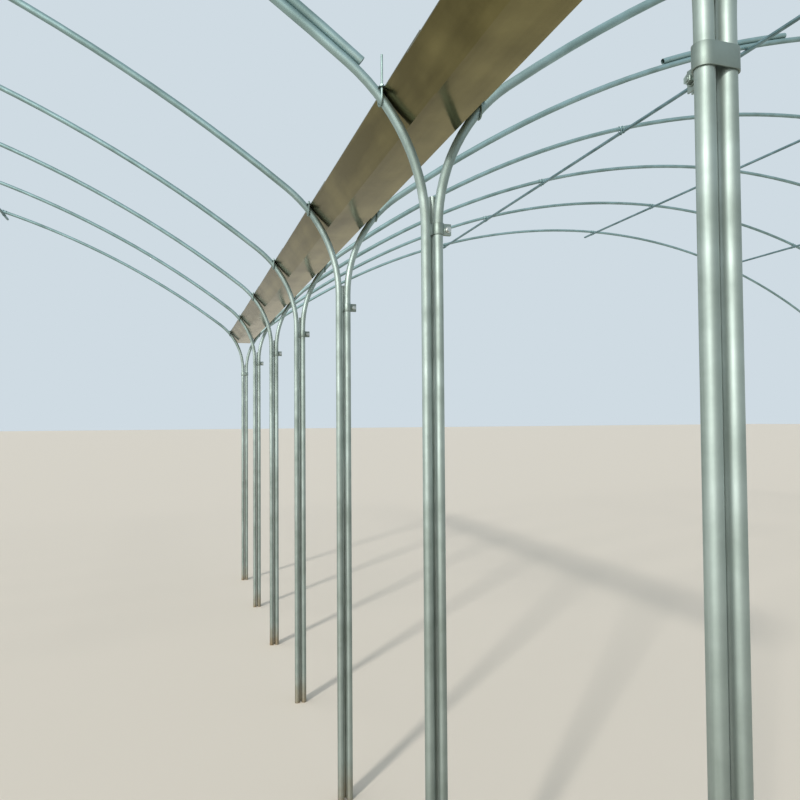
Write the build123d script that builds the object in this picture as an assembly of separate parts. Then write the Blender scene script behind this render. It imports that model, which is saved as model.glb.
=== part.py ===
from build123d import *
import math
import os

# Multi-span tunnel greenhouse frame, bare of its film cover, in millimetres.
# The valley line is the Y axis, X runs across the spans and +Z is up.
# The origin is on the ground, in the middle of the frame.

# Layout of the frame
span = 7500.0
bay = 1000.0
bay_count = 6
member_overhang = 150.0

# Steel tubes, drawn square and as wide as the round tubes are
arch_tube = 25.0
stake_tube = 25.0
purlin_tube = 20.0
seat_gap = 0.3

# Arch outline, along the middle of the tube
bend_start = 1950.0
shoulder_radius = 500.0
shoulder_turn = 53.5
leg_offset = 17.0

# Straps, one at each station at its own depth under the bend's start
strap_drops = (55.0, 2.0, 50.0, 35.0, 45.0, 30.0, 50.0)
strap_width = 30.0
strap_thickness = 2.5
ear_length = 22.0
ear_gap = 4.0

# Stakes, driven in behind one leg and sawn off above the strap
stake_shift = 12.0
stake_rise = 90.0

# Purlins, side rails and the short tubes that are lapped over two arches
haunch_distance = 2000.0
rail_rise = 130.0
near_lap = (200.0, 1500.0)
far_lap = (1530.0, 2250.0)

# Valley gutter of folded sheets, each reaching under the start of the next
gutter_seat_turn = 40.0
gutter_floor_half = 62.0
gutter_rim_half = 132.0
gutter_sheet = 2.0
gutter_lap = 90.0
lap_setback = 245.0

# Sizes that follow from the ones above
turn = math.radians(shoulder_turn)
shoulder_run = shoulder_radius * (1 - math.cos(turn))
shoulder_rise = shoulder_radius * math.sin(turn)
roof_radius = (span / 2 - leg_offset - shoulder_run) / math.cos(turn)
roof_centre_z = bend_start + shoulder_rise - roof_radius * math.sin(turn)
purlin_reach = arch_tube / 2 + seat_gap + purlin_tube / 2
stake_setback = arch_tube / 2 + seat_gap + stake_tube / 2
rail_height = bend_start + rail_rise
frame_length = bay * bay_count
member_length = frame_length + 2 * member_overhang
stations = [bay * number - frame_length / 2 for number in range(bay_count + 1)]
strap_heights = [bend_start - strap_drops[number % len(strap_drops)] for number in range(bay_count + 1)]


def save(name, shape):
    shape.label = name
    export_step(shape, f"parts/{name}.step")


# Arches: leg, shoulder bend, roof arc, shoulder bend and leg in one bent tube
def arch():
    foot = leg_offset - span / 2
    with BuildLine(Plane.XZ) as outline:
        near_leg = Line((foot, 0), (foot, bend_start))
        near_bend = JernArc(near_leg @ 1, near_leg % 1, shoulder_radius, -shoulder_turn)
        roof = JernArc(near_bend @ 1, near_bend % 1, roof_radius, -2 * (90 - shoulder_turn))
        far_bend = JernArc(roof @ 1, roof % 1, shoulder_radius, -shoulder_turn)
        Line(far_bend @ 1, (-foot, 0))
    section = Pos(foot, 0, 0) * Rectangle(arch_tube, arch_tube)
    return sweep(section, path=outline.wire())


# Stakes: one driven tube behind the legs of each station, nearer to one leg
def stakes(line_x, near_side):
    section = Pos(line_x + near_side * stake_shift, stake_setback) * Rectangle(stake_tube, stake_tube)
    tubes = [extrude(section, height + stake_rise) for height in strap_heights]
    return Compound(children=[Pos(0, y, 0) * tube for y, tube in zip(stations, tubes)])


# Straps: a flat band round legs and stake, closed by two ears
def strap(leg_sides, near_side, ears_behind):
    """Strap with its ears behind the stake, or else beside the near leg."""
    tubes = [Pos(side * leg_offset, 0) * Rectangle(arch_tube, arch_tube) for side in leg_sides]
    tubes.append(Pos(near_side * stake_shift, stake_setback) * Rectangle(stake_tube, stake_tube))
    bundle = make_hull([edge for tube in tubes for edge in tube.edges()])
    inner = offset(bundle, seat_gap, kind=Kind.INTERSECTION)
    outer = offset(inner, strap_thickness, kind=Kind.INTERSECTION)
    ear_reach = seat_gap + ear_length / 2
    beside = Pos(near_side * (leg_offset + arch_tube / 2 + ear_reach), 0)
    behind = Pos(near_side * stake_shift, stake_setback + stake_tube / 2 + ear_reach) * Rot(0, 0, 90)
    ear_middle = behind if ears_behind else beside
    ears = ear_middle * Rectangle(ear_length, ear_gap + 2 * strap_thickness)
    slot = ear_middle * Rectangle(ear_length + 2 * strap_thickness, ear_gap)
    return extrude(outer + ears - slot - inner, strap_width / 2, both=True)


def straps(line_x, leg_sides, near_side):
    """Straps of a row: all its legs at the two ends, the near leg alone between."""
    end_strap = strap(leg_sides, near_side, True)
    bands = [end_strap] + [strap([near_side], near_side, False)] * (bay_count - 1) + [end_strap]
    places = [Pos(line_x, y, height) for y, height in zip(stations, strap_heights)]
    return Compound(children=[place * band for place, band in zip(places, bands)])


# Purlins and rails: straight tubes along the frame, one flat against the arches
def long_tube(x, z, lean):
    """Tube along Y that leans from upright by an angle in degrees."""
    start = Plane((x, -member_length / 2, z), x_dir=(0, 0, 1), z_dir=(0, 1, 0))
    return extrude(start * Rot(0, 0, lean) * Rectangle(purlin_tube, purlin_tube), member_length)


def purlin(x):
    reach = roof_radius - purlin_reach
    lean = math.asin((x - span / 2) / roof_radius)
    tube_x = span / 2 + reach * math.sin(lean)
    return long_tube(tube_x, roof_centre_z + reach * math.cos(lean), math.degrees(lean))


def side_rail():
    reach = shoulder_radius + purlin_reach
    rise = math.asin((rail_height - bend_start) / reach)
    x = span - leg_offset - shoulder_radius + reach * math.cos(rise)
    return long_tube(x, rail_height, 90 - math.degrees(rise))


# Lapped tubes: short lengths bent like the roof, lying on top of an arch
def lapped_tube(first_distance, last_distance):
    radius = roof_radius + arch_tube + seat_gap
    turns = [math.asin((distance - span / 2) / roof_radius) for distance in (first_distance, last_distance)]
    centre = Plane((span / 2, 0, roof_centre_z), x_dir=(1, 0, 0), z_dir=(0, -1, 0))
    first_turn, last_turn = [90 - math.degrees(turn) for turn in turns]
    path = centre * CenterArc((0, 0), radius, first_turn, last_turn - first_turn)
    start = Plane(origin=path @ 0, x_dir=(0, 1, 0), z_dir=path % 0)
    return sweep(start * Rectangle(arch_tube, arch_tube), path=path)


# Gutter: trough of folded sheet resting between the shoulders of two arches
def gutter_line(lift):
    """Folds of the trough's underside from rim to rim, raised by a lift."""
    seat_turn = math.radians(gutter_seat_turn)
    reach = shoulder_radius + arch_tube / 2 + seat_gap
    seat_x = leg_offset + shoulder_radius - reach * math.cos(seat_turn)
    seat_z = bend_start + reach * math.sin(seat_turn)
    slope = 1 / math.tan(seat_turn)
    rim_z = seat_z + (gutter_rim_half - seat_x) * slope + lift
    floor_z = seat_z + (gutter_floor_half - seat_x) * slope + lift
    right = [(gutter_floor_half, floor_z), (gutter_rim_half, rim_z)]
    left = [(-x, z) for x, z in reversed(right)]
    return left + right


def gutter_length(first, last, station):
    """Sheet from one place to another that falls by one lap in each bay."""
    skew = math.sin(math.radians(gutter_seat_turn))
    fall = (gutter_sheet + seat_gap) / skew / bay
    lift = fall * (station - first)
    folds = gutter_line(lift) + list(reversed(gutter_line(lift + gutter_sheet / skew)))
    near_end = Plane((0, first, 0), x_dir=(1, 0, 0), z_dir=(0, -1, 0))
    section = make_face(Polyline(*folds, close=True))
    run = Vector(0, last - first, -fall * (last - first))
    return extrude(near_end * section, run.length, dir=run.normalized())


os.makedirs("parts", exist_ok=True)

one_arch = arch()
for side_name, centre_x in (("left", -span / 2), ("right", span / 2)):
    for number, y in enumerate(stations, start=1):
        save(f"{side_name}_arch_{number}", Pos(centre_x, y, 0) * one_arch)

save("left_stakes", stakes(-span, 1))
save("valley_stakes", stakes(0.0, 1))
save("right_stakes", stakes(span, -1))
save("left_straps", straps(-span, [1], 1))
save("valley_straps", straps(0.0, [-1, 1], 1))
save("right_straps", straps(span, [-1], -1))

purlin_places = (("valley", haunch_distance), ("ridge", span / 2), ("outer", span - haunch_distance))
for place_name, x in purlin_places:
    right_purlin = purlin(x)
    save(f"right_{place_name}_purlin", right_purlin)
    save(f"left_{place_name}_purlin", mirror(right_purlin, Plane.YZ))

right_rail = side_rail()
save("right_side_rail", right_rail)
save("left_side_rail", mirror(right_rail, Plane.YZ))

save("left_lapped_tube", Pos(0, stations[1], 0) * mirror(lapped_tube(*near_lap), Plane.YZ))
save("right_lapped_tube", Pos(0, stations[2], 0) * lapped_tube(*far_lap))

joints = [y - lap_setback for y in stations[1:]]
starts = [-member_length / 2] + [y - gutter_lap / 2 for y in joints]
ends = [y + gutter_lap / 2 for y in joints] + [member_length / 2]
for number, (first, last) in enumerate(zip(starts, ends), start=1):
    save(f"gutter_sheet_{number}", gutter_length(first, last, stations[number - 1]))
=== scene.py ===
# %% [markdown]
# # A bare greenhouse frame
# This lesson dresses the steel frame of a greenhouse with two spans, before its
# film cover goes on. The frame comes in as a fixed model of plain bars, so each
# step reads its place from that model and puts the real tube, strap or bolt there.
# The box of the plain model is kept.

# %% Load the frame
import math

import bmesh
import bpy
from mathutils import Matrix, Vector


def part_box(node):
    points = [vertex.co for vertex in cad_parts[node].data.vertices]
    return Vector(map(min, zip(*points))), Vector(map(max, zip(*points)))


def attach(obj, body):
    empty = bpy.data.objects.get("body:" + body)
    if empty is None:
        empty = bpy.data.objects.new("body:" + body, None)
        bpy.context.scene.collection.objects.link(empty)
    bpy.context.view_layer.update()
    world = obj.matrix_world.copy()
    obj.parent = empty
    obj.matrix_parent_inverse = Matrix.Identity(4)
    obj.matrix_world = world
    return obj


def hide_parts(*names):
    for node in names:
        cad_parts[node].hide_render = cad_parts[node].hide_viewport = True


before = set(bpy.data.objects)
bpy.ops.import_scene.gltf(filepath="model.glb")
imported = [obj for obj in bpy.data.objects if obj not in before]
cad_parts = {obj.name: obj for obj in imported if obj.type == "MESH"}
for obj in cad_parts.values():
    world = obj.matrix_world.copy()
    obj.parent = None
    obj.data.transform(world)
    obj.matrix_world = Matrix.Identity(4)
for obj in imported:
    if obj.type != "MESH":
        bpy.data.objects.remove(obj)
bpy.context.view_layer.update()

# %% [markdown]
# ## Colours and nodes
# Colours are written as the hex values that a colour picker shows. Blender mixes
# light in linear values, so one function turns them. A second one adds a node,
# sets it up and joins it to the nodes before it, which keeps each material short.
# A material could be wired by hand in the Shader Editor as well, but code makes the
# same one on each run and can be asked for a paler or a duller version of it.

# %% Turn hex colours to linear ones and add nodes
def linear(hex_colour):
    """Linear colour with alpha for a value such as #9aa8a0."""
    parts = [int(hex_colour[i:i + 2], 16) / 255 for i in (1, 3, 5)]
    return [c / 12.92 if c <= 0.04045 else ((c + 0.055) / 1.055) ** 2.4 for c in parts] + [1.0]


def add_node(tree, kind, inputs=None, **settings):
    """Add a node with its settings, and set or link each of its inputs."""
    node = tree.nodes.new(kind)
    for name, value in settings.items():
        setattr(node, name, value)
    for key, value in (inputs or {}).items():
        if isinstance(value, bpy.types.NodeSocket):
            tree.links.new(value, node.inputs[key])
        else:
            node.inputs[key].default_value = value
    return node


print("mid grey, #808080, in linear light:", round(linear("#808080")[0], 3))

# %% [markdown]
# ## Galvanised steel
# The tubes, straps and bolts are steel with a zinc skin. Weather leaves patches of
# about 80 mm on it, and the rollers that drew a tube left faint lines along it.
# Both are noise in metres, and so keep their real size on every piece, with no
# picture to wrap round a tube. Together they say how dull the zinc is at each spot.

# %% Let the zinc weather
PATCH, LINE, LINE_LENGTH = 0.08, 0.009, 0.4
UP_AND_OVER = (1 / LINE_LENGTH, 1 / LINE, 1 / LINE_LENGTH)
DOWN_THE_ROW = (1 / LINE, 1 / LINE_LENGTH, 1 / LINE)
PALE_UP_TO, DULL_FROM = 0.8, 1.25


def weathered(tree, place, drawn):
    """Patches of weather, and how dull they and the drawn lines leave the zinc."""
    patch = add_node(tree, "ShaderNodeTexNoise", {"Vector": place, "Scale": 1 / PATCH, "Detail": 4.0})
    along = add_node(tree, "ShaderNodeMapping", {"Vector": place, "Scale": drawn})
    line = add_node(tree, "ShaderNodeTexNoise", {"Vector": along.outputs["Vector"], "Scale": 1.0})
    weather = add_node(tree, "ShaderNodeMath", {
        0: patch.outputs["Fac"], 1: line.outputs["Fac"]}, operation="ADD")
    dullness = add_node(tree, "ShaderNodeMapRange", {
        "Value": weather.outputs["Value"], "From Min": PALE_UP_TO, "From Max": DULL_FROM})
    return patch.outputs["Fac"], dullness.outputs["Result"]


print("patches of", PATCH * 1000, "mm and lines of", LINE * 1000, "mm")

# %% [markdown]
# ## Painted sky, dust and soil
# A painted reflection of the sky makes the roof's tubes bluer than the legs. Dust,
# with painted shade and a painted reflection of the dark ground, darkens the lower
# half of the legs, and soil splashes the last 150 mm. They could be painted on each
# leg by hand. Here Map Range turns the height over the ground into a share of each,
# so that they agree from leg to leg.

# %% Mark the zinc by its height
# Painted light: the roof's blue tint is a painted reflection of the sky, and the dark film low on the
# legs is dust with painted shade and a painted reflection of the dark ground.
NO_TINT, SKY_REFLECTION_TINT, DUST_AND_GROUND_SHADE, SOIL = "#ffffff", "#e4f7ff", "#6f746c", "#8f7a5c"
SKY_TINT_FROM, SKY_TINT_FULL_ABOVE = 2.0, 2.5
DARKEST_BELOW, DARKENING_TOP, DARKENING_SHARE = 0.9, 1.5, 0.36
SPLASH_TOP, SPLASH_COVER = 0.15, 1.3


def marked_by_height(tree, place, skin, patch):
    """Colour of a zinc skin with a painted sky reflection up high, dust with painted shade low down, and
    splashed soil.
    """
    height = add_node(tree, "ShaderNodeSeparateXYZ", {"Vector": place}).outputs["Z"]
    # Painted reflection: tubes above two metres take on the blue of the sky.
    sky_share = add_node(tree, "ShaderNodeMapRange", {
        "Value": height, "From Min": SKY_TINT_FROM, "From Max": SKY_TINT_FULL_ABOVE})
    sky_tint = add_node(tree, "ShaderNodeMix", {
        "Factor": sky_share.outputs["Result"],
        "A": linear(NO_TINT), "B": linear(SKY_REFLECTION_TINT)}, data_type="RGBA")
    skin_with_sky = add_node(tree, "ShaderNodeMix", {
        "Factor": 1.0, "A": skin, "B": sky_tint.outputs["Result"]}, data_type="RGBA", blend_type="MULTIPLY")
    # Dust with painted shade and painted ground reflection: the legs darken towards the ground.
    darkening = add_node(tree, "ShaderNodeMapRange", {
        "Value": height, "From Min": DARKEST_BELOW, "From Max": DARKENING_TOP,
        "To Min": DARKENING_SHARE, "To Max": 0.0}, interpolation_type="SMOOTHSTEP")
    darkened_low = add_node(tree, "ShaderNodeMix", {
        "Factor": darkening.outputs["Result"],
        "A": skin_with_sky.outputs["Result"], "B": linear(DUST_AND_GROUND_SHADE)}, data_type="RGBA")
    splash = add_node(tree, "ShaderNodeMapRange", {
        "Value": height, "From Max": SPLASH_TOP, "To Min": SPLASH_COVER, "To Max": 0.0})
    soil = add_node(tree, "ShaderNodeMath", {
        0: splash.outputs["Result"], 1: patch}, operation="MULTIPLY")
    soiled = add_node(tree, "ShaderNodeMix", {
        "Factor": soil.outputs["Value"],
        "A": darkened_low.outputs["Result"], "B": linear(SOIL)}, data_type="RGBA")
    return soiled.outputs["Result"]


# The painted sky tint starts at the last height printed, and the dust with painted shade ends at the
# middle one.
print("soil up to", SPLASH_TOP, "m, dust up to", DARKENING_TOP, "m, washed above", SKY_TINT_FROM, "m")

# %% [markdown]
# ## Five zinc finishes
# Zinc is a metal, so the shader is fully metallic and keeps the default IOR. One
# function makes all five, because only the tone and the shine differ: the arches
# have weathered pale with a broad, soft shine, the dipped straps are darker, the
# thin tubes are smoother and the plated bolts are bright. The fine grain of the
# zinc itself is drawn coarser than it is, so that it shows.

# %% Make the zinc finishes
GRAIN = 0.003


def new_metal(name):
    """Fully metallic material, with its nodes and its shader."""
    material = bpy.data.materials.new(name)
    material.use_nodes = True
    tree = material.node_tree
    shader = tree.nodes["Principled BSDF"]
    shader.inputs["Metallic"].default_value = 1.0
    return material, tree, shader


def zinc(name, pale_hex, dull_hex, roughness, drawn=UP_AND_OVER):
    """Zinc-coated steel that weathers from a pale tone to a dull one."""
    material, tree, shader = new_metal(name)
    place = add_node(tree, "ShaderNodeTexCoord").outputs["Object"]
    patch, dullness = weathered(tree, place, drawn)
    skin = add_node(tree, "ShaderNodeMix", {
        "Factor": dullness, "A": linear(pale_hex), "B": linear(dull_hex)}, data_type="RGBA")
    colour = marked_by_height(tree, place, skin.outputs["Result"], patch)
    tree.links.new(colour, shader.inputs["Base Color"])
    shine = add_node(tree, "ShaderNodeMapRange", {
        "Value": dullness, "To Min": roughness - 0.05, "To Max": roughness + 0.07})
    tree.links.new(shine.outputs["Result"], shader.inputs["Roughness"])
    grain = add_node(tree, "ShaderNodeTexNoise", {"Vector": place, "Scale": 1 / GRAIN})
    bump = add_node(tree, "ShaderNodeBump", {
        "Height": grain.outputs["Fac"], "Strength": 0.1, "Distance": 0.0004})
    tree.links.new(bump.outputs["Normal"], shader.inputs["Normal"])
    return material


arch_zinc = zinc("rolled_galvanised_arch", "#abb9b5", "#8f9c96", roughness=0.60)
stake_zinc = zinc("rolled_galvanised_stake", "#9ca8a3", "#808c86", roughness=0.50)
rail_zinc = zinc("rolled_galvanised_rail", "#93a3a4", "#6f7f7e", roughness=0.46, drawn=DOWN_THE_ROW)
strap_zinc = zinc("dipped_galvanised_strap", "#97a59f", "#7a8680", roughness=0.54)
bolt_zinc = zinc("bright_plated_bolt", "#d0d5d2", "#adb3b0", roughness=0.34)
zinc_finishes = (arch_zinc, stake_zinc, rail_zinc, strap_zinc, bolt_zinc)
print("zinc finishes:", [material.name for material in zinc_finishes])

# %% [markdown]
# ## Bending a tube
# A tube bender feeds a straight tube and swings it round a former. The mesh is
# made in the same way: a ring of edges is pushed along for a straight run and
# spun about a centre for a bend. Each step returns the ring that it ends on, so
# the next can go on from there. A sawn end shows the wall and some of the bore.
# A curve with a round bevel would also give a tube. Here each bend is a true arc
# about a stated centre, and the last ring stays at hand for the wall of the end.

# %% Push, swing and close a ring of edges
WALL = 0.0015
Point, Edge = bmesh.types.BMVert, bmesh.types.BMEdge


def only(kind, items):
    """Points or edges alone, out of the mixed list that an operator returns."""
    return [item for item in items if isinstance(item, kind)]


def ring_at(mesh, place, radius, sides=20, turn=Matrix()):
    """Ring of edges round the start of a tube that points up."""
    made = bmesh.ops.create_circle(
        mesh, radius=radius, segments=sides, matrix=Matrix.Translation(place) @ turn)
    return list(dict.fromkeys(edge for vert in made["verts"] for edge in vert.link_edges))


def push(mesh, ring, way):
    """Straight run, and the ring at its far end."""
    grown = bmesh.ops.extrude_edge_only(mesh, edges=ring)["geom"]
    verts = only(Point, grown)
    bmesh.ops.translate(mesh, verts=verts, vec=way)
    far_end = set(verts)
    return [edge for edge in only(Edge, grown) if far_end.issuperset(edge.verts)]


def swing(mesh, ring, centre, axis, degrees, steps):
    """Bend about a centre, and the ring at its far end."""
    spun = bmesh.ops.spin(
        mesh, geom=ring, cent=centre, axis=axis, angle=math.radians(degrees), steps=steps)
    return only(Edge, spun["geom_last"])


def sawn_end(mesh, ring, inward, radius):
    """Wall and bore of an open end."""
    bore = push(mesh, ring, (0, 0, 0))
    verts = list(dict.fromkeys(vert for edge in bore for vert in edge.verts))
    middle = sum((vert.co for vert in verts), Vector()) / len(verts)
    thin = 1 - WALL / radius
    bmesh.ops.scale(mesh, verts=verts, vec=(thin, thin, thin), space=Matrix.Translation(-middle))
    bmesh.ops.edgeloop_fill(mesh, edges=push(mesh, bore, inward))


print("a tube's wall is", WALL * 1000, "mm thick")

# %% [markdown]
# ## Finishing a piece
# Every mesh ends in the same way. Doubled corners are merged, faces are turned
# outwards, and edges sharper than 35 degrees stay crisp while the rest shade
# smoothly. Pieces that are repeated along the frame are copied inside one mesh.
# Linked copies would be lighter, but each would need a place of its own, and one
# mesh at the origin keeps the patterns on it in place. The piece then rides on the
# frame and stands for its plain bars.

# %% Turn a mesh into a piece
DOUBLED = 2e-6
SHARP = math.radians(35)


def put_in_scene(name, data):
    """Object that holds a mesh, a lamp or a camera."""
    item = bpy.data.objects.new(name, data)
    bpy.context.scene.collection.objects.link(item)
    return item


def mesh_in_scene(name, mesh, material):
    """Object with a mesh and its one material."""
    data = bpy.data.meshes.new(name)
    mesh.to_mesh(data)
    mesh.free()
    data.materials.append(material)
    return put_in_scene(name, data)


def finish_piece(name, mesh, material, nodes=(), places=((0, 0, 0),)):
    """Piece from a mesh that is repeated at each place."""
    bmesh.ops.remove_doubles(mesh, verts=mesh.verts, dist=DOUBLED)
    bmesh.ops.recalc_face_normals(mesh, faces=mesh.faces)
    for edge in mesh.edges:
        edge.smooth = not (edge.is_manifold and edge.calc_face_angle(0) > SHARP)
    for face in mesh.faces:
        face.smooth = True
    first = mesh.verts[:] + mesh.edges[:] + mesh.faces[:]
    for place in places[1:]:
        copied = bmesh.ops.duplicate(mesh, geom=first)["geom"]
        bmesh.ops.translate(mesh, verts=only(Point, copied), vec=place)
    bmesh.ops.translate(mesh, verts=only(Point, first), vec=places[0])
    piece = mesh_in_scene(name, mesh, material)
    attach(piece, "root")
    for node in nodes:
        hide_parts(node)
    return piece


print("edges stay crisp over", round(math.degrees(SHARP)), "degrees")

# %% [markdown]
# ## Arches
# Each arch is one bent tube: a leg, a bend at the shoulder, the long flat curve
# of the roof, and the same again down the far side. Its sizes are those of the
# plain bars, and the stations along the valley are read from them. Five pushes and
# swings make it, in the terms of the bending shop: a length, a radius and an angle.
# The feet run into the ground, so they are closed flat.

# %% Bend the arches
TUBE = 0.0125
SPAN, LEG = 7.5, 0.017
BEND_START, SHOULDER, SHOULDER_TURN = 1.95, 0.5, 53.5
BEND_STEPS, ROOF_STEPS = 14, 64
tilt = math.radians(SHOULDER_TURN)
ROOF = (SPAN / 2 - LEG - SHOULDER * (1 - math.cos(tilt))) / math.cos(tilt)
CROWN_CENTRE = Vector((SPAN / 2, 0, BEND_START + (SHOULDER - ROOF) * math.sin(tilt)))
ALONG = (0, 1, 0)
NUMBERS = range(1, 8)
stations = [sum(corner[1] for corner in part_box(f"right_arch_{number}")) / 2 for number in NUMBERS]


def bend_arch():
    """Arch of the right span, with its middle at Y = 0."""
    mesh = bmesh.new()
    foot = ring_at(mesh, (LEG, 0, 0), TUBE)
    bmesh.ops.edgeloop_fill(mesh, edges=foot)
    leg = push(mesh, foot, (0, 0, BEND_START))
    bend = swing(mesh, leg, (LEG + SHOULDER, 0, BEND_START), ALONG, SHOULDER_TURN, BEND_STEPS)
    roof = swing(mesh, bend, CROWN_CENTRE, ALONG, 2 * (90 - SHOULDER_TURN), ROOF_STEPS)
    bend = swing(mesh, roof, (SPAN - LEG - SHOULDER, 0, BEND_START), ALONG, SHOULDER_TURN, BEND_STEPS)
    bmesh.ops.edgeloop_fill(mesh, edges=push(mesh, bend, (0, 0, -BEND_START)))
    return mesh


for number, y in zip(NUMBERS, stations):
    for side, x in (("left", -SPAN), ("right", 0)):
        name, node = f"{side}_arch_tube_{number}", f"{side}_arch_{number}"
        finish_piece(name, bend_arch(), arch_zinc, [node], [(x, y, 0)])
print("arches at", [round(y, 3) for y in stations], "with a roof radius of", round(ROOF, 3))

# %% [markdown]
# ## Lapped tubes
# Two arches have a second tube lying along the first, where two lengths of tube
# were lapped to make up the arch. One swing about the roof's own centre makes it,
# one tube higher, so that it lies true on the arch from end to end. Where it starts
# and stops is worked out from the box of the plain bar.

# %% Lap the short tubes
SEAT_GAP = 0.0003
BENT_BORE_SEEN = 0.04


def lapped_tube(node, y):
    """Short tube on top of the arch at a station, and its length."""
    low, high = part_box(node)
    side = 1 if low[0] > 0 else -1
    near, far = sorted((abs(low[0]), abs(high[0])))
    radius = ROOF + 2 * TUBE + SEAT_GAP
    first = 90 - math.degrees(math.asin((SPAN / 2 - near) / (radius + TUBE)))
    last = 90 - math.degrees(math.asin((SPAN / 2 - far) / (radius - TUBE)))
    to_first, to_last = [Matrix.Rotation(math.radians(angle), 3, "Y") for angle in (first, last)]
    mesh = bmesh.new()
    start = ring_at(mesh, CROWN_CENTRE - Vector((radius, 0, 0)), TUBE)
    bmesh.ops.rotate(mesh, verts=mesh.verts, cent=CROWN_CENTRE, matrix=to_first)
    end = swing(mesh, start, CROWN_CENTRE, ALONG, last - first, steps=12)
    bore = Vector((0, 0, BENT_BORE_SEEN))
    sawn_end(mesh, start, to_first @ bore, TUBE)
    sawn_end(mesh, end, to_last @ -bore, TUBE)
    bmesh.ops.scale(mesh, verts=mesh.verts, vec=(side, 1, 1))
    finish_piece(node + "_round", mesh, arch_zinc, [node], [(0, y, 0)])
    return round(math.radians(last - first) * radius, 2)


laps = (("left_lapped_tube", stations[1]), ("right_lapped_tube", stations[2]))
print("lapped lengths:", [lapped_tube(node, y) for node, y in laps])

# %% [markdown]
# ## Stakes
# Behind the legs of each station stands a third tube, which was driven into the
# ground first. Each went in to its own depth, so their tops differ by some 50 mm.
# The top is sawn and open, and the strap holds it just below. A plain cylinder has
# no wall, so the ring is pushed up to the top, drawn in by the wall's thickness and
# pushed back down the bore.

# %% Stand the stakes
STRAP_HEIGHTS = [BEND_START - drop for drop in (0.055, 0.002, 0.050, 0.035, 0.045, 0.030, 0.050)]
STAKE_RISE, STAKE_SHIFT, BORE_SEEN = 0.090, 0.012, 0.06
STAKE_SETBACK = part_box("valley_stakes")[0][1] + TUBE - stations[0]


def stand_stakes(node, line_x, near_side):
    """Stakes of one row, all in one mesh."""
    mesh = bmesh.new()
    for y, height in zip(stations, STRAP_HEIGHTS):
        foot = ring_at(mesh, (line_x + near_side * STAKE_SHIFT, y + STAKE_SETBACK, 0), TUBE)
        bmesh.ops.edgeloop_fill(mesh, edges=foot)
        top = push(mesh, foot, (0, 0, height + STAKE_RISE))
        sawn_end(mesh, top, (0, 0, -BORE_SEEN), TUBE)
    finish_piece(node + "_round", mesh, stake_zinc, [node])


rows = (("left", -SPAN, 1), ("valley", 0, 1), ("right", SPAN, -1))
for row, line_x, near_side in rows:
    stand_stakes(row + "_stakes", line_x, near_side)
print("stakes stand", round(STAKE_SETBACK * 1000, 1), "mm behind the legs")

# %% [markdown]
# ## Purlins and side rails
# Thinner tubes run the length of the frame: three under each roof, and one along
# each outer row at the shoulder. Each is one straight run with two sawn ends. The
# plain bars lean with the roof, but a round tube looks the same at any lean, so the
# middle and the length of each bar's box are all that it needs.

# %% Lay the long tubes
RAIL = 0.010
LYING = Matrix.Rotation(math.radians(-90), 4, "X")


def lay_tube(node):
    """Straight tube in the place of a plain bar, and its middle."""
    low, high = [Vector(corner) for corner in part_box(node)]
    middle = (low + high) / 2
    mesh = bmesh.new()
    start = ring_at(mesh, (middle.x, low.y, middle.z), RAIL, turn=LYING)
    end = push(mesh, start, (0, high.y - low.y, 0))
    sawn_end(mesh, start, (0, BORE_SEEN, 0), RAIL)
    sawn_end(mesh, end, (0, -BORE_SEEN, 0), RAIL)
    finish_piece(node + "_round", mesh, rail_zinc, [node])
    return middle


lines = ("valley_purlin", "ridge_purlin", "outer_purlin", "side_rail")
long_tubes = [f"{side}_{line}" for side in ("left", "right") for line in lines]
middles = {node: lay_tube(node) for node in long_tubes}
print("long tubes:", {node: (round(spot.x, 2), round(spot.z, 2)) for node, spot in middles.items()})

# %% [markdown]
# ## Wire clips
# At each crossing a spring wire holds the thin tube to the arch. It is one closed
# loop: over the arch, down, under the thin tube, up, and back again on the other
# side. It is drawn with the arch along X and the thin tube below it along Y, and
# then turned to the slope of the arch there. Push and swing bend a wire as well as
# they bend a tube, and at this thickness six sides look round. One crossing has no
# clip, because a lapped tube lies on the arch there and leaves no room for the wire.

# %% Bend the clips
WIRE = 0.00175
DROP = TUBE + RAIL + SEAT_GAP
ACROSS = (1, 0, 0)


def bend_clip():
    """Closed loop of wire round an arch at the origin and the thin tube under it."""
    reach, width = TUBE + WIRE, RAIL + WIRE
    mesh = bmesh.new()
    wire = ring_at(mesh, (-width, -reach, -DROP), WIRE, sides=6)
    for near, far, turn in ((-1, 1, -180), (1, -1, 180)):
        wire = push(mesh, wire, (0, 0, DROP))
        wire = swing(mesh, wire, (near * width, 0, 0), ACROSS, turn, steps=8)
        wire = push(mesh, wire, (0, 0, -DROP))
        wire = swing(mesh, wire, (0, far * reach, -DROP), ALONG, turn, steps=6)
    return mesh


def fit_clips(node):
    """Clips of one long tube, turned to point from it to the arch."""
    spot = middles[node]
    side = 1 if spot.x > 0 else -1
    crown = Vector((side * SPAN / 2, 0, CROWN_CENTRE.z))
    away = (spot - crown).xz.normalized()
    if node.endswith("rail"):
        bend = Vector((side * (SPAN - LEG - SHOULDER), 0, BEND_START))
        away = (bend - spot).xz.normalized()
    lean = math.atan2(away.x, away.y)
    mesh = bend_clip()
    bmesh.ops.rotate(mesh, verts=mesh.verts, cent=(0, 0, 0), matrix=Matrix.Rotation(lean, 3, "Y"))
    centre = Vector((spot.x + away.x * DROP, 0, spot.z + away.y * DROP))
    lapped = [stations[2]] if node == "right_valley_purlin" else []
    places = [centre + Vector((0, y, 0)) for y in stations if y not in lapped]
    finish_piece(node + "_clips", mesh, strap_zinc, places=places)
    return len(places)


print("clips:", sum(fit_clips(node) for node in long_tubes))

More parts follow.
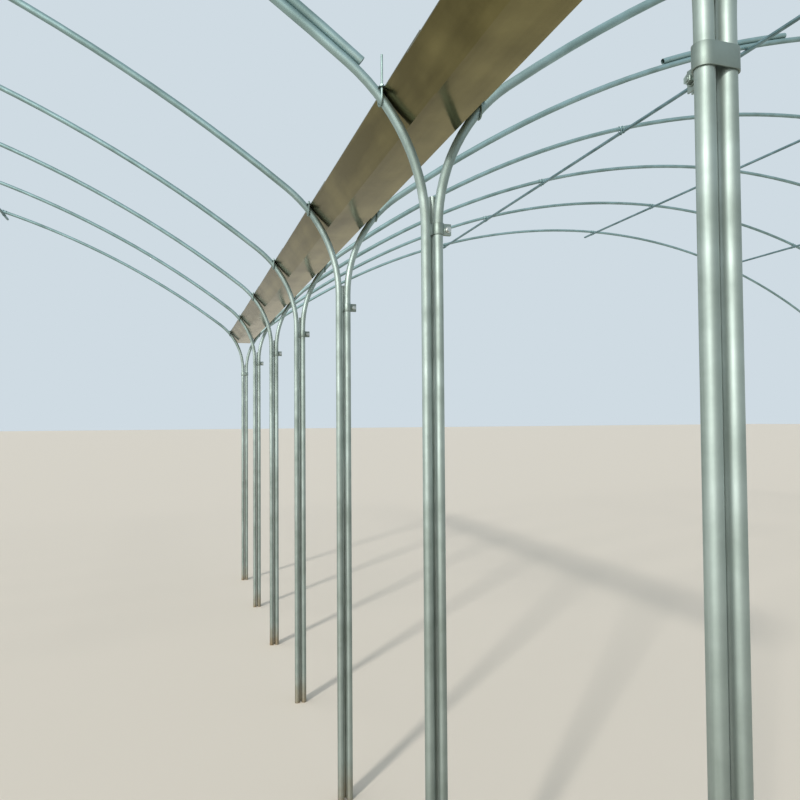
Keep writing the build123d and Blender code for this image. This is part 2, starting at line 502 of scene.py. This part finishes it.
# %% [markdown]
# ## Straps
# A flat steel strip is bent round the tubes of a station and its two ends are
# drawn together by a bolt. The mesh is bent as the strip is: one upright edge is
# pushed along the straight parts and spun about each tube in turn. Solidify gives
# the strip its thickness and Bevel takes the edge off its corners. At the two end
# stations the strap holds all the legs and closes behind the stake; at the others
# it holds the near leg and closes beside it.

# %% Bend a strap
STRIP, STRIP_WIDTH = 0.0025, 0.030
EAR, EAR_GAP = 0.022, 0.004
EAR_END, EAR_SIDE = TUBE + SEAT_GAP + EAR, (EAR_GAP + STRIP) / 2
FACET_TURN = 0.25
UP = (0, 0, 1)


def bend_strap(tubes):
    """Strip that goes round the tubes and closes to the right of the first one."""
    reach = TUBE + SEAT_GAP + STRIP / 2
    ear_turn = math.asin(EAR_SIDE / reach)
    ear_run = EAR_END - reach * math.cos(ear_turn)
    corner = tubes[0] + Vector((EAR_END, -EAR_SIDE, 0))
    mesh = bmesh.new()
    ends = [mesh.verts.new(corner + Vector((0, 0, z))) for z in (-STRIP_WIDTH / 2, STRIP_WIDTH / 2)]
    strip = push(mesh, [mesh.edges.new(ends)], (-ear_run, 0, 0))
    facing = -ear_turn
    for here, there in zip(tubes, tubes[1:] + tubes[:1]):
        way = there - here
        leaving = math.atan2(way.y, way.x) + math.pi / 2
        swept = (facing - leaving) % (2 * math.pi)
        strip = swing(mesh, strip, here, UP, -math.degrees(swept), max(2, round(swept / FACET_TURN)))
        strip = push(mesh, strip, way)
        facing = leaving
    closing = (facing - ear_turn) % (2 * math.pi)
    strip = swing(mesh, strip, tubes[0], UP, -math.degrees(closing), steps=3)
    push(mesh, strip, (ear_run, 0, 0))
    return mesh


print("ears stick out", EAR * 1000, "mm and are", EAR_GAP * 1000, "mm apart")

# %% Hang the straps
WORN = 0.0005
BACK = Matrix.Rotation(math.radians(90), 3, "Z")


def hang_straps(row, part, mesh, near_side, places, nodes=()):
    """One bent strip, turned to its near side, at some stations of a row."""
    bmesh.ops.scale(mesh, verts=mesh.verts, vec=(near_side, 1, 1))
    piece = finish_piece(f"{row}_{part}_straps_bent", mesh, strap_zinc, nodes, places)
    skin = piece.modifiers.new("strip thickness", "SOLIDIFY")
    skin.thickness, skin.offset = STRIP, 0
    edge = piece.modifiers.new("worn edge", "BEVEL")
    edge.width, edge.segments = WORN, 2


leg = Vector((LEG, 0, 0))
stake = Vector((STAKE_SHIFT, STAKE_SETBACK, 0))
strap_spots = {}
for row, line_x, near_side in rows:
    spots = strap_spots[row] = [Vector((line_x, y, height)) for y, height in zip(stations, STRAP_HEIGHTS)]
    hang_straps(row, "inner", bend_strap([leg, stake]), near_side, spots[1:-1], [row + "_straps"])
    bundle = [stake, leg, -leg] if row == "valley" else [stake, leg]
    mesh = bend_strap([tube @ BACK for tube in bundle])
    bmesh.ops.rotate(mesh, verts=mesh.verts, cent=(0, 0, 0), matrix=BACK)
    hang_straps(row, "end", mesh, near_side, [spots[0], spots[-1]])
print("valley straps at", [round(spot.z, 3) for spot in strap_spots["valley"]])

# %% [markdown]
# ## Strap bolts
# A bolt goes through both ears, with a washer under its six-sided head and another
# under its nut. Each part is a short cone of equal radii, and Bevel breaks its
# rims. Only a millimetre of thread shows past the nut, so none is cut. The bolts
# of the two end stations have gone as dull as their straps.

# %% Put in the strap bolts
EAR_BOLT = 0.0265
RIM_ANGLE = math.radians(80)
# start, length, radius and sides of head, washer, shank, washer and nut
BOLT_PARTS = (
    (-0.0120, 0.0055, 0.0070, 6),
    (-0.0065, 0.0016, 0.0085, 14),
    (-0.0049, 0.0180, 0.0040, 10),
    (0.0045, 0.0016, 0.0085, 14),
    (0.0061, 0.0060, 0.0070, 6))


def add_parts(mesh, parts, line):
    """Closed cylinders, six-sided or round, one after the other along a line."""
    for start, length, radius, sides in parts:
        middle = line @ Matrix.Translation((0, 0, start + length / 2))
        bmesh.ops.create_cone(
            mesh, cap_ends=True, segments=sides, radius1=radius, radius2=radius,
            depth=length, matrix=middle)


def strap_bolt(line):
    """Head, washers, shank and nut, with their rims broken."""
    mesh = bmesh.new()
    add_parts(mesh, BOLT_PARTS, line)
    rims = [edge for edge in mesh.edges if edge.calc_face_angle(0) > RIM_ANGLE]
    bmesh.ops.bevel(mesh, geom=rims, offset=WORN, affect="EDGES", segments=1, profile=0.5, material=-1)
    return mesh


beside = leg + Vector((EAR_BOLT, 0, 0))
behind = stake + Vector((0, EAR_BOLT, 0))
for row, _, near_side in rows:
    spots = strap_spots[row]
    for part, line, ear, held, finish in (
            ("inner", LYING, beside, spots[1:-1], bolt_zinc),
            ("end", BACK.to_4x4() @ LYING, behind, [spots[0], spots[-1]], strap_zinc)):
        places = [spot + Vector((near_side * ear.x, ear.y, 0)) for spot in held]
        finish_piece(f"{row}_{part}_strap_bolts", strap_bolt(line), finish, places=places)
print("strap bolts:", sum(len(spots) for spots in strap_spots.values()))

# %% [markdown]
# ## Hook bolts
# The gutter's rims are held to the arches by hook bolts. Each is a rod that curls
# under the tube, comes up just outside the rim and clamps it with a washer and a
# nut. The rods were sawn off just over their nuts, all but the one on the left of
# the second station, which still stands above the rim. A rod is bent from a ring
# of eight edges, as the tubes are, and closed flat at both ends.

# %% Hook the gutter down
HOOK_X, HOOK_LOW, ROD = 0.1365, 2.2676, 0.003
HOOK_TAIL, HOOK_SLACK = 0.012, 0.0005
SAWN_TOP, UNCUT_TOP = 2.304, 2.375
# start, length, radius and sides of washer and nut
CLAMP_PARTS = (
    (2.2922, 0.0015, 0.009, 14),
    (2.2937, 0.005, 0.0055, 6))


def hook_bolt(side, top):
    """Hooked rod on one side of the arch at Y = 0, with its washer and nut."""
    mesh = bmesh.new()
    reach = TUBE + ROD + HOOK_SLACK
    rod = ring_at(mesh, (side * HOOK_X, reach, HOOK_LOW + HOOK_TAIL), ROD, sides=8)
    bmesh.ops.edgeloop_fill(mesh, edges=rod)
    rod = push(mesh, rod, (0, 0, -HOOK_TAIL))
    rod = swing(mesh, rod, (0, 0, HOOK_LOW), ACROSS, -180, steps=8)
    bmesh.ops.edgeloop_fill(mesh, edges=push(mesh, rod, (0, 0, top - HOOK_LOW)))
    add_parts(mesh, CLAMP_PARTS, Matrix.Translation((side * HOOK_X, -reach, 0)))
    return mesh


arch_spots = [(0, y, 0) for y in stations]
for name, side, top, held in (
        ("left_hook_bolts", -1, SAWN_TOP, arch_spots[:1] + arch_spots[2:]),
        ("right_hook_bolts", 1, SAWN_TOP, arch_spots),
        ("uncut_hook_bolt", -1, UNCUT_TOP, arch_spots[1:2])):
    finish_piece(name, hook_bolt(side, top), strap_zinc, places=held)
print("hook bolts:", 2 * len(arch_spots))

# %% [markdown]
# ## Gutter sheet
# The valley gutter is zinc-coated sheet folded into a trough. The coating is
# smooth enough to mirror the legs below it. Its brown is a painted reflection of
# the brown soil under it. Rolled sheet has long faint bands, about 60 mm wide and
# ten times as long. The brown is darker in some blotches and bands, and darker
# still along the left side, where the darkening is painted shade, and there the
# sheet shines less. The slope of that painted shade is given for each metre to the
# right, so it is negative. The plain sheets have their true folds already, so they
# keep their meshes and get only this finish.

# %% Coat the gutter
BAND, BAND_LENGTH, BLOTCH = 0.06, 0.6, 0.17
LEFT_SHADE_SLOPE = -3.0
LIGHTEST_UP_TO, DARKEST_FROM = 0.6, 1.4
# Painted reflection: both browns stand in for the brown soil mirrored in the sheet, and the darker one
# also for painted shade.
LIT_SOIL_REFLECTION, SHADED_SOIL_REFLECTION = "#8f885c", "#615b39"


def sheet_with_painted_reflection(name):
    """Zinc-coated sheet with a painted reflection of brown soil and painted shade along its left side."""
    material, tree, shader = new_metal(name)
    place = add_node(tree, "ShaderNodeTexCoord").outputs["Object"]
    rolled = add_node(tree, "ShaderNodeMapping", {
        "Vector": place, "Scale": (1 / BAND, 1 / BAND_LENGTH, 1 / BAND)})
    band = add_node(tree, "ShaderNodeTexNoise", {
        "Vector": rolled.outputs["Vector"], "Scale": 1.0, "Detail": 4.0})
    blotch = add_node(tree, "ShaderNodeTexNoise", {"Vector": place, "Scale": 1 / BLOTCH, "Detail": 5.0})
    darkening = add_node(tree, "ShaderNodeMath", {
        0: band.outputs["Fac"], 1: blotch.outputs["Fac"]}, operation="ADD")
    # Painted shade: the brown darkens towards the left side of the gutter.
    across = add_node(tree, "ShaderNodeSeparateXYZ", {"Vector": place}).outputs["X"]
    shade_and_blotches = add_node(tree, "ShaderNodeMath", {
        0: across, 1: LEFT_SHADE_SLOPE, 2: darkening.outputs["Value"]}, operation="MULTIPLY_ADD")
    dark_share = add_node(tree, "ShaderNodeMapRange", {
        "Value": shade_and_blotches.outputs["Value"], "From Min": LIGHTEST_UP_TO, "From Max": DARKEST_FROM})
    # The brown base colour is a painted reflection of the soil below.
    colour = add_node(tree, "ShaderNodeMix", {
        "Factor": dark_share.outputs["Result"],
        "A": linear(LIT_SOIL_REFLECTION), "B": linear(SHADED_SOIL_REFLECTION)}, data_type="RGBA")
    tree.links.new(colour.outputs["Result"], shader.inputs["Base Color"])
    shine = add_node(tree, "ShaderNodeMapRange", {
        "Value": dark_share.outputs["Result"], "To Min": 0.08, "To Max": 0.22})
    tree.links.new(shine.outputs["Result"], shader.inputs["Roughness"])
    waves = add_node(tree, "ShaderNodeBump", {
        "Height": darkening.outputs["Value"], "Strength": 0.2, "Distance": 0.004})
    tree.links.new(waves.outputs["Normal"], shader.inputs["Normal"])
    return material


gutter_finish = sheet_with_painted_reflection("galvanised_gutter_painted_reflection")
sheets = [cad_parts[f"gutter_sheet_{number}"] for number in NUMBERS]
for sheet in sheets:
    sheet.data.materials.clear()
    sheet.data.materials.append(gutter_finish)
print("gutter sheets coated:", len(sheets))

# %% [markdown]
# ## Floor and sky
# The frame stands on a plain pale floor under a plain pale sky. The camera and the
# metal see the sky at full strength, while the light that it sheds is weaker, so
# that the lamps can shape the tubes. Light Path tells the two apart: it says what
# kind of ray has reached the sky. The floor is matt, so it shows the frame's
# shadows and mirrors nothing.

# %% Lay the floor
FLOOR_REACH = 150.0
floor_paint = bpy.data.materials.new("pale_matt_floor")
floor_paint.use_nodes = True
floor_shader = floor_paint.node_tree.nodes["Principled BSDF"]
floor_shader.inputs["Base Color"].default_value = linear("#e2dacd")
floor_shader.inputs["Roughness"].default_value = 0.9
floor_mesh = bmesh.new()
bmesh.ops.create_grid(floor_mesh, x_segments=1, y_segments=1, size=FLOOR_REACH)
floor = mesh_in_scene("floor", floor_mesh, floor_paint)
print("floor reaches", max(vert.co.x for vert in floor.data.vertices), "m each way")

# %% Hang the sky
SKY_LIGHT = 0.6
world = bpy.data.worlds.new("pale_sky")
bpy.context.scene.world = world
world.use_nodes = True
tree = world.node_tree
sky = tree.nodes["Background"]
sky.inputs["Color"].default_value = linear("#cfdbe3")
ray = add_node(tree, "ShaderNodeLightPath").outputs
mirrored = add_node(tree, "ShaderNodeMath", {
    0: ray["Is Camera Ray"], 1: ray["Is Glossy Ray"]}, operation="MAXIMUM")
seen = add_node(tree, "ShaderNodeMath", {
    0: mirrored.outputs["Value"], 1: ray["Is Transmission Ray"]}, operation="MAXIMUM")
strength = add_node(tree, "ShaderNodeMapRange", {
    "Value": seen.outputs["Value"], "To Min": SKY_LIGHT, "To Max": 1.0})
tree.links.new(strength.outputs["Result"], sky.inputs["Strength"])
print("sky sheds", SKY_LIGHT, "of the light that the camera sees")

# %% [markdown]
# ## Lamps
# Three soft lamps stand far off to the left. The highest one is the key: it draws
# the long highlights and the shadows of the arches. The lower and wider one
# reaches the lower half of the legs, where the key's highlight doesn't. The third
# stands further round and lights the left flank of each tube. Sun lamps suit so
# long a frame, because their light doesn't fade along the row. The width of each is
# its size in the sky in degrees: the wider the lamp, the softer its shadows.

# %% Place the lamps
WARM_WHITE = "#fffaf3"


def facing_way(bearing, rise):
    """Turn that faces a bearing, in degrees to the right of the row, and a rise."""
    across, up = math.radians(bearing), math.radians(rise)
    way = Vector((math.sin(across) * math.cos(up), math.cos(across) * math.cos(up), math.sin(up)))
    return way.to_track_quat("-Z", "Y")


def far_lamp(name, strength, width, bearing, height):
    """Sun lamp with light that travels towards a bearing, down from a height."""
    lamp = bpy.data.lights.new(name, "SUN")
    lamp.energy, lamp.angle = strength, math.radians(width)
    lamp.color = linear(WARM_WHITE)[:3]
    holder = put_in_scene(name, lamp)
    holder.rotation_euler = facing_way(bearing, -height).to_euler()


far_lamp("key", strength=2.3, width=5, bearing=44, height=26)
far_lamp("low_fill", strength=1.6, width=50, bearing=42, height=4)
far_lamp("side", strength=0.9, width=80, bearing=100, height=15)
print("lamps:", [lamp.name for lamp in bpy.data.lights])

# %% [markdown]
# ## Camera
# The camera is held at chest height, a little to the left of the valley posts,
# and looks along the row, turned a little to the right. Its lens is fairly wide.
# Its turns are set as angles about its own place, so each can be changed by itself.

# %% Place the camera
FOCAL_PIXELS, IMAGE = 707.2, 800
YAW, PITCH, ROLL = 17.8, 1.7, 0.4
LEFT_OF_ROW, BEFORE_FIRST, EYE_HEIGHT = 0.634, 0.696, 1.454
camera_data = bpy.data.cameras.new("camera")
camera_data.lens = camera_data.sensor_width * FOCAL_PIXELS / IMAGE
camera_data.clip_end = 400.0
camera = put_in_scene("camera", camera_data)
camera.matrix_world = (Matrix.Translation((-LEFT_OF_ROW, stations[0] - BEFORE_FIRST, EYE_HEIGHT))
                       @ facing_way(YAW, PITCH).to_matrix().to_4x4()
                       @ Matrix.Rotation(-math.radians(ROLL), 4, "Z"))
bpy.context.scene.camera = camera
bpy.context.scene.view_settings.view_transform = "Standard"
print("lens:", round(camera_data.lens, 2), "mm")
